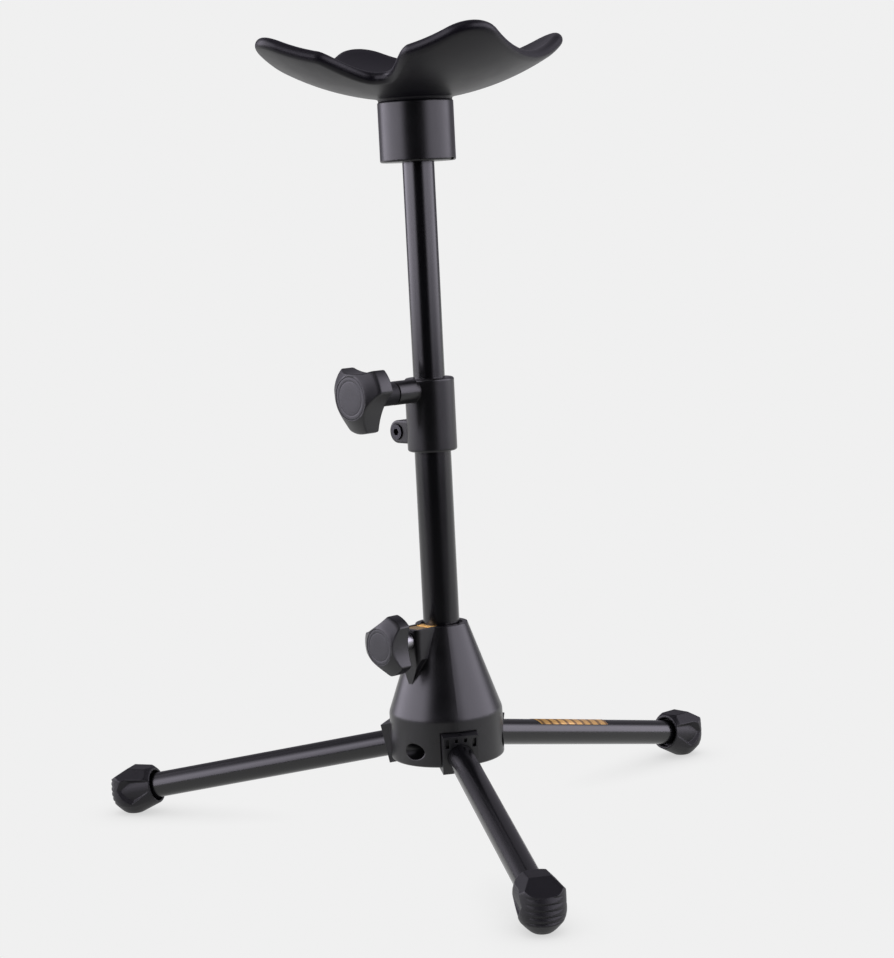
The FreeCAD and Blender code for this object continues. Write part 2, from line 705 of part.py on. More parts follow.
def make_base_pad():
    """Plastic pad that the lower stud presses on the lower tube."""
    body = new_body("base_clamp_pad")
    face = sketch_in(body, "XY_Plane", "lower_tube_radius - 4")
    low = "pocket_bottom - lower_knob_height + 0.1"
    high = "housing_top - lower_knob_height - 0.3"
    half = "pocket_width / 2 - 0.1"
    draw_polygon(face, [(low, "-(%s)" % half), (high, "-(%s)" % half), (high, half), (low, half)])
    add_pad(body, face, "pad_end - lower_tube_radius + 4")
    hollow = sketch_in(body, "YZ_Plane")
    draw_circle(hollow, "0", "0", "lower_tube_radius + clearance")
    add_pocket(body, hollow, "3 * pocket_width", middle=True)
    body.Placement = radial_place(KNOB_AZIMUTH, value("lower_knob_height"))
    return body


def make_neck_insert():
    place = radial_place(KNOB_AZIMUTH, value("upper_knob_height"))
    return tube("neck_insert", "insert_radius", "insert_radius - stud_radius - clearance",
                "insert_start", "neck_end - 0.3", place)


def make_neck_pad():
    """Plastic pad that the upper stud presses on the upper tube."""
    body = new_body("neck_clamp_pad")
    face = sketch_in(body, "XY_Plane", "upper_tube_radius - 2")
    draw_circle(face, "0", "0", "insert_radius - 0.1")
    add_pad(body, face, "pad_end - upper_tube_radius + 2")
    hollow = sketch_in(body, "YZ_Plane")
    draw_circle(hollow, "0", "0", "upper_tube_radius + clearance")
    add_pocket(body, hollow, "4 * insert_radius", middle=True)
    body.Placement = radial_place(KNOB_AZIMUTH, value("upper_knob_height"))
    return body


# ---- knobs ----

def sized(expression, size):
    return "(%s) * %s" % (expression, size)


def make_knob(label, back, height, hub_start, turn):
    """Three-lobed grip: a round blank, three hollows, a sloped front and a plain recess."""
    size = label + "_size"
    body = new_body(label)
    blank = sketch_in(body, "XY_Plane", back)
    draw_circle(blank, "0", "0", sized("knob_radius", size))
    add_pad(body, blank, sized("knob_thickness", size))
    front = "%s + %s" % (back, sized("knob_thickness", size))
    hollow = sketch_in(body, "XY_Plane", front)
    draw_circle(hollow, sized("knob_waist + grip_radius", size), "0", sized("grip_radius", size))
    hollow_cut = add_pocket(body, hollow, sized("knob_thickness", size))
    add_pattern(body, [hollow_cut])
    slope = sketch_in(body, "XZ_Plane")
    rim = sized("knob_disc_radius + 0.6", size)
    edge = sized("knob_radius + 2", size)
    draw_polygon(slope, [
        (rim, front), (edge, "%s + %s" % (back, sized("knob_band - 1", size))),
        (edge, front + " + 1"), (rim, front + " + 1")])
    add_turn(body, slope, cut=True)
    seat = sketch_in(body, "XY_Plane", front)
    draw_circle(seat, "0", "0", sized("knob_disc_radius", size))
    add_pocket(body, seat, "knob_disc_depth")
    if hub_start:
        hub = sketch_in(body, "XY_Plane", hub_start)
        draw_circle(hub, "0", "0", "knob_hub_radius")
        add_pad(body, hub, "%s - (%s) + 1" % (back, hub_start))
    stud = sketch_in(body, "XY_Plane", back + " + stud_grip")
    draw_circle(stud, "0", "0", "stud_radius")
    add_pocket(body, stud, "%s + stud_grip" % back)
    body.Placement = radial_place(KNOB_AZIMUTH, height).multiply(
        FreeCAD.Placement(FreeCAD.Vector(), FreeCAD.Rotation(UP, turn)))
    return body


def make_knob_disc(label, knob, back, height):
    """Plain round disc let into the knob's face."""
    size = knob + "_size"
    front = "%s + %s" % (back, sized("knob_thickness", size))
    place = radial_place(KNOB_AZIMUTH, height)
    return plain_pin(label, sized("knob_disc_radius", size), front + " - knob_disc_depth", front,
                     place)


def make_lower_stud():
    """Threaded stud with the plain steel shank that shows behind the lower knob."""
    end = "lower_knob_back + stud_grip"
    shank = "boss_reach + 0.3"
    return turned("lower_knob_stud", [
        ("0", "pad_end"), ("stud_radius", "pad_end"), ("stud_radius", shank),
        ("shank_radius", shank), ("shank_radius", "lower_knob_back"),
        ("stud_radius", "lower_knob_back"), ("stud_radius", end), ("0", end)],
        radial_place(KNOB_AZIMUTH, value("lower_knob_height")))


def make_upper_stud():
    place = radial_place(KNOB_AZIMUTH, value("upper_knob_height"))
    end = "upper_knob_back + stud_grip"
    return plain_pin("upper_knob_stud", "stud_radius", "pad_end", end, place)


# ---- upper tube and cradle ----

def make_tube_guide():
    """Bush on the upper tube's lower end; its foot runs in the lower tube."""
    run = "lower_tube_radius - lower_tube_wall - clearance"
    spigot = "upper_tube_radius - upper_tube_wall - clearance"
    foot = "upper_tube_bottom - guide_foot"
    return turned("tube_guide", [
        ("4", foot), (run, foot), (run, "upper_tube_bottom - 0.05"),
        (spigot, "upper_tube_bottom - 0.05"), (spigot, "upper_tube_bottom + guide_length"),
        ("4", "upper_tube_bottom + guide_length")], column_place())


def make_top_plug():
    """Threaded plug in the upper tube's top, for the cradle's screw."""
    inner = "upper_tube_radius - upper_tube_wall"
    return turned("tube_top_plug", [
        ("dish_screw_radius", "upper_tube_top - 18"), (inner, "upper_tube_top - 18"),
        (inner, "upper_tube_top"), ("dish_screw_radius", "upper_tube_top")], column_place())


def make_cradle_hub():
    body = turned("cradle_hub", [
        ("upper_tube_radius", "hub_bottom"), ("hub_radius", "hub_bottom"),
        ("hub_radius", "hub_top"), ("dish_screw_radius", "hub_top"),
        ("dish_screw_radius", "upper_tube_top"), ("upper_tube_radius", "upper_tube_top")],
        column_place())
    for height in ("hub_bottom", "hub_top"):
        add_blend(body, "hub_blend", ring_at(value(height), value("hub_radius")))
    notch = sketch_in(body, "XZ_Plane")
    draw_polygon(notch, [
        ("hub_radius - 2.5", "hub_bottom - 1"), ("hub_radius + 1", "hub_bottom - 1"),
        ("hub_radius + 1", "hub_bottom + 1.4"), ("hub_radius - 2.5", "hub_bottom + 1.4")])
    add_pocket(body, notch, "3.5", middle=True)
    body.Placement = column_place(-37)
    return body


def make_cradle_dish():
    """Part of a spherical shell with a notched square outline, on a round boss."""
    outer = doc.addObject("Part::Sphere", "dish_outside")
    bind(outer, "Radius", "dish_radius + dish_thickness")
    inner = doc.addObject("Part::Sphere", "dish_inside")
    bind(inner, "Radius", "dish_radius")
    boss = doc.addObject("Part::Cylinder", "dish_boss")
    bind(boss, "Radius", "hub_radius - 0.6")
    bind(boss, "Height", "dish_thickness")
    boss.Placement = column_place().multiply(FreeCAD.Placement(
        FreeCAD.Vector(0, 0, value("hub_top")), FreeCAD.Rotation()))
    for ball in (outer, inner):
        ball.Placement = column_place().multiply(FreeCAD.Placement(
            FreeCAD.Vector(0, 0, value(SPHERE_HEIGHT)), FreeCAD.Rotation()))
    filled = doc.addObject("Part::Fuse", "dish_filled")
    filled.Base = outer
    filled.Tool = boss
    shell = doc.addObject("Part::Cut", "dish_shell")
    shell.Base = filled
    shell.Tool = inner
    sheet_piece = doc.addObject("Part::Common", "dish_sheet")
    sheet_piece.Base = shell
    sheet_piece.Tool = make_dish_outline()
    return cut_piece("cradle_dish", sheet_piece, make_screw_seat())


def make_dish_outline():
    """The dish's plan: a square with round corners and two deep notches."""
    body = new_body("dish_plan")
    square = sketch_in(body, "XY_Plane", "hub_top - 1")
    half = "dish_side / 2"
    draw_polygon(square, [("-(%s)" % half, "-(%s)" % half), (half, "-(%s)" % half),
                          (half, half), ("-(%s)" % half, half)])
    add_pad(body, square, "dish_top - hub_top + 1")
    add_blend(body, "dish_corner", is_upright)
    bite = sketch_in(body, "XY_Plane", "dish_top")
    draw_circle(bite, "0", "%s - notch_depth + notch_radius" % half, "notch_radius")
    bite_cut = add_pocket(body, bite, "dish_top - hub_top + 2")
    add_pattern(body, [bite_cut], count=2)
    side = value(half)
    add_blend(body, "notch_blend", lambda edge: is_upright(edge) and is_notch_end(edge, side))
    body.Placement = column_place(value("dish_turn"))
    return body


def is_upright(edge):
    box = edge.BoundBox
    return box.ZLength > 30 and box.XLength < 0.01 and box.YLength < 0.01


def is_notch_end(edge, side):
    """True for the upright edges where a notch meets its side of the square."""
    point = edge.Vertexes[0].Point
    return abs(abs(point.y) - side) < 0.01 and abs(point.x) < value("notch_radius")


def make_screw_seat():
    """Tool for the screw's way and its countersunk head in the dish's floor."""
    return turned("dish_screw_seat", [
        ("0", "hub_top - 2"), ("dish_screw_radius", "hub_top - 2"),
        ("dish_screw_radius", "dish_floor - dish_head_length"),
        ("dish_head_radius", "dish_floor - 0.3"), ("dish_head_radius", "dish_floor + 3"),
        ("0", "dish_floor + 3")], column_place())


def make_cradle_screw():
    body = turned("cradle_screw", [
        ("0", "upper_tube_top - 12"), ("dish_screw_radius", "upper_tube_top - 12"),
        ("dish_screw_radius", "dish_floor - dish_head_length"),
        ("dish_head_radius", "dish_floor - 0.3"), ("0", "dish_floor - 0.3")], column_place())
    key = sketch_in(body, "XY_Plane", "dish_floor - 0.3")
    draw_hexagon(key, "4")
    add_pocket(body, key, "2")
    return body


# ---- the whole stand ----

def make_legs():
    pieces = []
    for name, azimuth in LEGS.items():
        pieces.append(make_pivot(name, azimuth))
        pieces.append(make_leg_block(name, azimuth))
        pieces.append(make_leg_tube(name, azimuth))
        pieces.append(make_leg_rivet(name, azimuth))
        pieces.append(make_foot(name, azimuth))
    pieces.append(make_leg_band())
    return pieces


def make_column():
    lower_height = value("lower_knob_height")
    upper_height = value("upper_knob_height")
    return [
        make_base_housing(),
        make_base_bush(),
        make_clamp_nut(),
        make_base_pad(),
        make_knob("lower_knob", "lower_knob_back", lower_height, None, 30),
        make_knob_disc("lower_knob_disc", "lower_knob", "lower_knob_back", lower_height),
        make_lower_stud(),
        tube("lower_tube", "lower_tube_radius", "lower_tube_wall",
             "lower_tube_bottom", "lower_tube_top", column_place()),
        make_tube_plug(),
        make_clamp_collar(),
        make_ear_screw(),
        make_ear_nut(),
        make_neck_insert(),
        make_neck_pad(),
        make_knob("upper_knob", "upper_knob_back", upper_height, "neck_end + 0.5", -2),
        make_knob_disc("upper_knob_disc", "upper_knob", "upper_knob_back", upper_height),
        make_upper_stud(),
        tube("upper_tube", "upper_tube_radius", "upper_tube_wall",
             "upper_tube_bottom", "upper_tube_top", column_place()),
        make_tube_guide(),
        make_top_plug(),
        make_cradle_hub(),
        make_cradle_dish(),
        make_cradle_screw(),
    ]


def check(pieces):
    """Stops unless every object computed and every piece is one good solid."""
    for thing in doc.Objects:
        if "Invalid" in thing.State or "Error" in thing.State:
            raise RuntimeError("%s did not compute" % thing.Name)
    for piece in pieces:
        shape = piece.Shape
        if shape.isNull() or not shape.isValid() or len(shape.Solids) != 1:
            raise RuntimeError("%s is not one valid solid" % piece.Label)


def export(pieces):
    os.makedirs("parts", exist_ok=True)
    for piece in pieces:
        piece.Shape.exportStep("parts/%s.step" % piece.Label)


parts_made = make_legs() + make_column()
doc.recompute()
check(parts_made)
export(parts_made)
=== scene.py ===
import json
import math

import bmesh
import bpy
from mathutils import Matrix, Vector


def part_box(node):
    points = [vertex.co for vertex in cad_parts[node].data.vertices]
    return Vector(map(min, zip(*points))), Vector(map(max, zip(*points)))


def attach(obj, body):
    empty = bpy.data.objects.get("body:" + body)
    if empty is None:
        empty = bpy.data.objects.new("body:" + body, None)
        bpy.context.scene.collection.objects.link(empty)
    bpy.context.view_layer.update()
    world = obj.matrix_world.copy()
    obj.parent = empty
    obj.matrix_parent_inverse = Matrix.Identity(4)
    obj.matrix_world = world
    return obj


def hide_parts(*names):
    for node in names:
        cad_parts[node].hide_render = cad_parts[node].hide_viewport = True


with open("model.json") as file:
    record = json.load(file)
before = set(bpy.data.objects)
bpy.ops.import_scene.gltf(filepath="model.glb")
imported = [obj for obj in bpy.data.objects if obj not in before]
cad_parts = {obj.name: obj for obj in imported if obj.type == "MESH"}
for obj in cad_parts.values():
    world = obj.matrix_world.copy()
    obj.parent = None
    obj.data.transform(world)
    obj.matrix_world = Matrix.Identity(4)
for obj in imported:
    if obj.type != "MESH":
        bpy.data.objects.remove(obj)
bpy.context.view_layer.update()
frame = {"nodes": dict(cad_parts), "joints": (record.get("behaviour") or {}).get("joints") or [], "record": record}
nodes = frame["nodes"]
joints = {joint["name"]: joint for joint in frame["joints"]}

MM = 0.001
LEG_NAMES = ("front", "right", "left")

# ---- places read from the frame ----

axis_x, axis_y, _ = joints["cradle_swivel"]["pos_m"]
COLUMN = Vector((axis_x, axis_y, 0))
KNOB_OUT = Vector(joints["base_pad_slide"]["axis"])
LEG_AZIMUTH = {}
for leg in LEG_NAMES:
    swing = Vector(joints["leg_fold_" + leg]["axis"])
    LEG_AZIMUTH[leg] = math.atan2(-swing.x, swing.y)


# ---- camera, light and floor ----

CAMERA_TURN = math.radians(-12.3)
CAMERA_DISTANCE = 1.3
CAMERA_HEIGHT = 0.3729
CAMERA_ASIDE = 0.0077
CAMERA_PITCH = math.radians(7.005)
CAMERA_ROLL = math.radians(2.85)
CAMERA_LENS = 87.56
SENSOR = 36.0
CLIP_END = 50

PAPER = 0.871
FLOOR_REACH = 6.0
FLOOR_DROP = 0.0003
# How far ahead of the origin, in metres, the floor's reflection and bounce fade out.
PAPER_EDGE = (0.28, 0.4)
PAPER_BOUNCE = 0.02
# How dark the painted contact shadow makes the floor under things, and how near they have to be.
CONTACT_SHADE = 0.7
CONTACT_REACH = 0.03
CONTACT_SAMPLES = 12

# The edges of the broad lights are cosines: of the heading for the side lights, and of the
# angle from straight up for their tops. Side lights are (degrees from the camera, strength).
SIDE_EDGE = (0.6, 0.86)
SIDE_LIGHTS = ((-84, 4.1), (74, 3.5))
TOP_EDGE = (0.5, 0.85)
FRONT_LIGHT = 0.012
REAR_LIGHT = 0.28
REAR_EDGE = (0.3, -0.6)
STUDIO_COLOUR = (1.0, 0.95, 1.1, 1)

# The small overhead light: degrees from the camera's side and above level, metres, watts.
TOP_BOX_AZIMUTH = -30
TOP_BOX_ELEVATION = 64
TOP_BOX_DISTANCE = 1.8
TOP_BOX_SIZE = 0.7
TOP_BOX_POWER = 1.8
TOP_BOX_AIM = Vector((0, 0, 0.25))


def make_camera():
    data = bpy.data.cameras.new("camera")
    data.sensor_fit = "HORIZONTAL"
    data.sensor_width = SENSOR
    data.lens = CAMERA_LENS
    data.clip_end = CLIP_END
    camera = bpy.data.objects.new("camera", data)
    turn = Matrix.Rotation(CAMERA_TURN, 3, "Z")
    place = COLUMN + turn @ Vector((CAMERA_ASIDE, -CAMERA_DISTANCE, CAMERA_HEIGHT))
    right = Vector((1, 0, 0))
    up = Vector((0, math.sin(CAMERA_PITCH), math.cos(CAMERA_PITCH)))
    back = right.cross(up)
    tilted_right = math.cos(CAMERA_ROLL) * right - math.sin(CAMERA_ROLL) * up
    tilted_up = math.sin(CAMERA_ROLL) * right + math.cos(CAMERA_ROLL) * up
    aim = turn @ Matrix((tilted_right, tilted_up, back)).transposed()
    camera.matrix_world = Matrix.Translation(place) @ aim.to_4x4()
    bpy.context.scene.collection.objects.link(camera)
    bpy.context.scene.camera = camera


def make_top_box():
    """A square area light above that looks at the column."""
    data = bpy.data.lights.new("top_box", "AREA")
    data.shape = "RECTANGLE"
    data.size = TOP_BOX_SIZE
    data.size_y = TOP_BOX_SIZE
    data.energy = TOP_BOX_POWER
    light = bpy.data.objects.new("top_box", data)
    angle = math.radians(TOP_BOX_AZIMUTH)
    lift = math.radians(TOP_BOX_ELEVATION)
    out = Vector((math.sin(angle) * math.cos(lift), -math.cos(angle) * math.cos(lift),
                  math.sin(lift)))
    light.location = COLUMN + TOP_BOX_AIM + TOP_BOX_DISTANCE * out
    light.rotation_euler = out.to_track_quat("Z", "Y").to_euler()
    bpy.context.scene.collection.objects.link(light)


def ramp_node(tree, source, start, end, low, high):
    """A smooth step between two levels."""
    made = tree.nodes.new("ShaderNodeMapRange")
    made.interpolation_type = "SMOOTHSTEP"
    tree.links.new(source, made.inputs["Value"])
    for name, value in (("From Min", start), ("From Max", end), ("To Min", low), ("To Max", high)):
        made.inputs[name].default_value = value
    return made.outputs["Result"]


def maths(tree, operation, first, second):
    """One arithmetic step on two values; the second may be a plain number."""
    made = tree.nodes.new("ShaderNodeMath")
    made.operation = operation
    tree.links.new(first, made.inputs[0])
    if isinstance(second, float):
        made.inputs[1].default_value = second
    else:
        tree.links.new(second, made.inputs[1])
    return made.outputs[0]


def make_world():
    """A dim studio with a broad soft light on each side; the camera sees plain paper."""
    world = bpy.data.worlds.new("studio")
    world.use_nodes = True
    bpy.context.scene.world = world
    tree = world.node_tree
    place = tree.nodes.new("ShaderNodeTexCoord").outputs["Generated"]
    parts = tree.nodes.new("ShaderNodeSeparateXYZ")
    tree.links.new(place, parts.inputs[0])
    level = tree.nodes.new("ShaderNodeCombineXYZ")
    for axis in "XY":
        tree.links.new(parts.outputs[axis], level.inputs[axis])
    heading = tree.nodes.new("ShaderNodeVectorMath")
    heading.operation = "NORMALIZE"
    tree.links.new(level.outputs[0], heading.inputs[0])

    def towards(azimuth):
        """How well a direction's compass heading agrees with an azimuth."""
        made = tree.nodes.new("ShaderNodeVectorMath")
        made.operation = "DOT_PRODUCT"
        tree.links.new(heading.outputs[0], made.inputs[0])
        made.inputs[1].default_value = (math.cos(azimuth), math.sin(azimuth), 0)
        return made.outputs["Value"]

    front = CAMERA_TURN - math.pi / 2
    boxes = ramp_node(tree, towards(front), *REAR_EDGE, FRONT_LIGHT, REAR_LIGHT)
    below_top = ramp_node(tree, parts.outputs["Z"], *TOP_EDGE, 1, 0)
    for azimuth, light in SIDE_LIGHTS:
        side = towards(front + math.radians(azimuth))
        box = ramp_node(tree, side, *SIDE_EDGE, 0, light)
        boxes = maths(tree, "ADD", boxes, maths(tree, "MULTIPLY", box, below_top))
    glow = tree.nodes.new("ShaderNodeBackground")
    glow.inputs["Color"].default_value = STUDIO_COLOUR
    tree.links.new(boxes, glow.inputs["Strength"])
    paper = tree.nodes["Background"]
    paper.inputs["Color"].default_value = (PAPER, PAPER, PAPER, 1)
    path = tree.nodes.new("ShaderNodeLightPath")
    mix = tree.nodes.new("ShaderNodeMixShader")
    tree.links.new(path.outputs["Is Camera Ray"], mix.inputs[0])
    tree.links.new(glow.outputs[0], mix.inputs[1])
    tree.links.new(paper.outputs[0], mix.inputs[2])
    tree.links.new(mix.outputs[0], tree.nodes["World Output"].inputs["Surface"])


def make_floor():
    """Pale glowing paper with a faint painted shadow under things; its bounce ends in front of the legs."""
    mesh = bpy.data.meshes.new("floor")
    corners = [(-FLOOR_REACH, -FLOOR_REACH, 0), (FLOOR_REACH, -FLOOR_REACH, 0),
               (FLOOR_REACH, FLOOR_REACH, 0), (-FLOOR_REACH, FLOOR_REACH, 0)]
    mesh.from_pydata(corners, [], [(0, 1, 2, 3)])
    floor = bpy.data.objects.new("floor", mesh)
    floor.location = (0, 0, -FLOOR_DROP)
    bpy.context.scene.collection.objects.link(floor)
    material = bpy.data.materials.new("floor_paper")
    material.use_nodes = True
    tree = material.node_tree
    near = tree.nodes.new("ShaderNodeAmbientOcclusion")
    near.samples = CONTACT_SAMPLES
    near.inputs["Distance"].default_value = CONTACT_REACH
    glow = tree.nodes.new("ShaderNodeEmission")
    glow.inputs["Color"].default_value = (PAPER, PAPER, PAPER, 1)
    place = tree.nodes.new("ShaderNodeTexCoord").outputs["Object"]
    ahead = tree.nodes.new("ShaderNodeVectorMath")
    ahead.operation = "DOT_PRODUCT"
    tree.links.new(place, ahead.inputs[0])
    front = CAMERA_TURN - math.pi / 2
    ahead.inputs[1].default_value = (math.cos(front), math.sin(front), 0)
    lit = ramp_node(tree, ahead.outputs["Value"], *PAPER_EDGE, 1, PAPER_BOUNCE)
    path = tree.nodes.new("ShaderNodeLightPath")
    seen = maths(tree, "MAXIMUM", lit, path.outputs["Is Camera Ray"])
    # painted contact shadow: ambient occlusion dims the floor's glow under and near things
    shade = ramp_node(tree, near.outputs["AO"], 0, 1, CONTACT_SHADE, 1)
    tree.links.new(maths(tree, "MULTIPLY", seen, shade), glow.inputs["Strength"])
    tree.links.new(glow.outputs[0], tree.nodes["Material Output"].inputs["Surface"])
    mesh.materials.append(material)


# ---- materials ----

class Recipe:
    """Short names for building one node material."""

    def __init__(self, name):
        self.material = bpy.data.materials.new(name)
        self.material.use_nodes = True
        self.tree = self.material.node_tree
        self.shader = self.tree.nodes["Principled BSDF"]
        place = self.tree.nodes.new("ShaderNodeTexCoord")
        self.place = place.outputs["Object"]
        self.edges = None

    def round_edges(self, radius):
        """Shades sharp edges as small rounds."""
        made = self.node("ShaderNodeBevel", Radius=radius)
        made.samples = 4
        self.edges = made.outputs["Normal"]
        self.tree.links.new(self.edges, self.shader.inputs["Normal"])

    def set(self, **values):
        for name, value in values.items():
            self.shader.inputs[name.replace("_", " ")].default_value = value

    def node(self, kind, links=None, **values):
        made = self.tree.nodes.new(kind)
        for name, value in values.items():
            made.inputs[name.replace("_", " ")].default_value = value
        for name, source in (links or {}).items():
            self.tree.links.new(source, made.inputs[name])
        return made

    def noise(self, scale, detail=3.0, roughness=0.5, place=None):
        made = self.node("ShaderNodeTexNoise", {"Vector": place or self.place},
                         Scale=scale, Detail=detail, Roughness=roughness)
        return made.outputs["Fac"]

    def ramp(self, source, low, high, start=0.3, end=0.7):
        """Maps a 0 to 1 source between two numbers."""
        made = self.node("ShaderNodeMapRange", {"Value": source})
        made.inputs["From Min"].default_value = start
        made.inputs["From Max"].default_value = end
        made.inputs["To Min"].default_value = low
        made.inputs["To Max"].default_value = high
        return made.outputs["Result"]

    def dot(self, direction):
        """The distance along a direction."""
        made = self.tree.nodes.new("ShaderNodeVectorMath")
        made.operation = "DOT_PRODUCT"
        self.tree.links.new(self.place, made.inputs[0])
        made.inputs[1].default_value = direction
        return made.outputs["Value"]

    def blend(self, factor, first, second):
        made = self.tree.nodes.new("ShaderNodeMix")
        made.data_type = "RGBA"
        self.tree.links.new(factor, made.inputs["Factor"])
        colours = [item for item in made.inputs if item.type == "RGBA"]
        for socket, colour in zip(colours, (first, second)):
            if isinstance(colour, tuple):
                socket.default_value = (*colour, 1)
            else:
                self.tree.links.new(colour, socket)
        return [item for item in made.outputs if item.type == "RGBA"][0]

    def wire(self, source, socket):
        self.tree.links.new(source, self.shader.inputs[socket])

    def bump(self, height, distance, strength=1.0):
        made = self.node("ShaderNodeBump", {"Height": height},
                         Distance=distance, Strength=strength)
        if self.edges is not None:
            self.tree.links.new(self.edges, made.inputs["Normal"])
        self.tree.links.new(made.outputs["Normal"], self.shader.inputs["Normal"])


def satin_paint():
    """Black powder coat: a smooth satin with a very faint cloud."""
    recipe = Recipe("satin_black_paint")
    cloud = recipe.noise(30, 2, 0.5)
    recipe.wire(recipe.blend(cloud, (0.0018, 0.0018, 0.0022), (0.0026, 0.0026, 0.003)),
                "Base Color")
    recipe.wire(recipe.ramp(cloud, 0.2, 0.225), "Roughness")
    return recipe.material


def moulded(name, colour, roughness, grain, depth, edge=0.0, shine=0.42):
    """Moulded plastic: fine grain, soft mottling and slightly paler, duller patches."""
    recipe = Recipe(name)
    if edge:
        recipe.round_edges(edge)
    mottle = recipe.noise(70, 5, 0.6)
    light = tuple(1.35 * part for part in colour)
    recipe.wire(recipe.blend(recipe.ramp(mottle, 0, 1, 0.35, 0.75), colour, light), "Base Color")
    recipe.wire(recipe.ramp(mottle, roughness - 0.02, roughness + 0.03), "Roughness")
    recipe.set(Specular_IOR_Level=shine)
    recipe.bump(recipe.noise(grain, 2, 0.6), depth, 0.3)
    return recipe.material


def metal(name, colour, roughness):
    """Plain or plated metal with fine turning marks."""
    recipe = Recipe(name)
    recipe.round_edges(0.0002)
    stretched = recipe.node("ShaderNodeMapping", {"Vector": recipe.place})
    stretched.inputs["Scale"].default_value = (1, 1, 8)
    marks = recipe.noise(1400, 3, 0.7, stretched.outputs["Vector"])
    cloud = recipe.noise(90, 3, 0.6)
    dark = tuple(0.7 * part for part in colour)
    recipe.wire(recipe.blend(cloud, dark, colour), "Base Color")
    recipe.wire(recipe.ramp(marks, roughness * 0.8, roughness * 1.3), "Roughness")
    recipe.set(Metallic=1.0)
    recipe.bump(marks, 0.00002, 0.3)
    return recipe.material


BAND_STRIPE = 3.6 * MM


def striped_film():
    """Gold film with plain dark cross stripes."""
    recipe = Recipe("gold_film")
    azimuth = LEG_AZIMUTH["right"]
    out = Vector((math.cos(azimuth), math.sin(azimuth), 0))
    along = maths(recipe.tree, "MULTIPLY", recipe.dot(out), 1 / BAND_STRIPE)
    stripe = maths(recipe.tree, "PINGPONG", along, 1.0)
    film = recipe.blend(recipe.ramp(stripe, 0, 1, 0.55, 0.75),
                        (0.62, 0.37, 0.12), (0.2, 0.11, 0.045))
    recipe.wire(film, "Base Color")
    recipe.wire(recipe.ramp(recipe.noise(200), 0.3, 0.42), "Roughness")
    recipe.set(Metallic=0.3)
    return recipe.material


MATERIALS = {
    "black_tube": satin_paint(),
    "satin_housing": moulded("satin_black_nylon", (0.003, 0.003, 0.0033), 0.3, 2400, 0.00001,
                             edge=0.0008),
    "black_plastic": moulded("black_plastic", (0.005, 0.005, 0.0055), 0.36, 1800, 0.00002,
                             edge=0.0005),
    "knob_plastic": moulded("knob_plastic", (0.006, 0.006, 0.0068), 0.38, 1800, 0.00002),
    "disc_plastic": moulded("disc_plastic", (0.014, 0.014, 0.016), 0.5, 2600, 0.00002),
    "foot_rubber": moulded("foot_rubber", (0.0045, 0.0042, 0.0055), 0.46, 1500, 0.00003,
                           shine=0.28),
    "cradle_plastic": moulded("cradle_soft_plastic", (0.0045, 0.004, 0.006), 0.38, 1500, 0.00002,
                              shine=0.2),
    "pad_plastic": moulded("yellow_acetal", (0.8, 0.45, 0.1), 0.35, 1500, 0.00001,
                           edge=0.0005),
    "gold_band": striped_film(),
    "brass": metal("turned_brass", (0.83, 0.56, 0.2), 0.28),
    "steel": metal("plated_steel", (0.3, 0.3, 0.31), 0.36),
    "black_steel": metal("blackened_steel", (0.05, 0.05, 0.055), 0.36),
}


def paint_frame():
    """Gives every CAD node the node material of its slot."""
    slots = {item["node"]: item["material_slot"] for item in frame["record"]["subparts"]}
    for name, thing in nodes.items():
        thing.data.materials.clear()
        thing.data.materials.append(MATERIALS[slots[name]])


# ---- mesh tools ----

def new_piece(name, points, faces):
    """A linked object with outward normals and smooth faces."""
    mesh = bpy.data.meshes.new(name)
    mesh.from_pydata([tuple(point) for point in points], [], faces)
    work = bmesh.new()
    work.from_mesh(mesh)
    bmesh.ops.remove_doubles(work, verts=work.verts, dist=1e-7)
    bmesh.ops.recalc_face_normals(work, faces=work.faces)
    work.to_mesh(mesh)
    work.free()
    mesh.polygons.foreach_set("use_smooth", [True] * len(mesh.polygons))
    piece = bpy.data.objects.new(name, mesh)
    bpy.context.scene.collection.objects.link(piece)
    return piece


def loft(rings, closed_path=False):
    """Points and faces that join rings of equal count; open paths get end caps."""
    count = len(rings[0])
    points = [point for ring in rings for point in ring]
    faces = []
    last = len(rings) if closed_path else len(rings) - 1
    for level in range(last):
        low = level * count
        high = (level + 1) % len(rings) * count
        for step in range(count):
            following = (step + 1) % count
            faces.append((low + step, low + following, high + following, high + step))
    if not closed_path:
        faces.append(tuple(range(count)))
        top = (len(rings) - 1) * count
        faces.append(tuple(range(top, top + count)))
    return points, faces


def lathe_rings(profile, segments):
    """Rings about local Z from (radius, height) pairs."""
    rings = []
    for radius, height in profile:
        ring = []
        for step in range(segments):
            angle = 2 * math.pi * step / segments
            ring.append(Vector((radius * math.cos(angle), radius * math.sin(angle), height)))
        rings.append(ring)
    return rings


def evaluate(piece):
    """Applies the piece's modifiers to its mesh."""
    graph = bpy.context.evaluated_depsgraph_get()
    mesh = bpy.data.meshes.new_from_object(piece.evaluated_get(graph), depsgraph=graph)
    piece.modifiers.clear()
    old = piece.data
    piece.data = mesh
    bpy.data.meshes.remove(old)


def combine(piece, tool, operation="DIFFERENCE"):
    """Cuts or joins with a tool object, which is then removed."""
    bpy.context.view_layer.update()
    step = piece.modifiers.new("combine", "BOOLEAN")
    step.operation = operation
    step.solver = "EXACT"
    step.object = tool
    evaluate(piece)
    mesh = tool.data
    bpy.data.objects.remove(tool)
    bpy.data.meshes.remove(mesh)


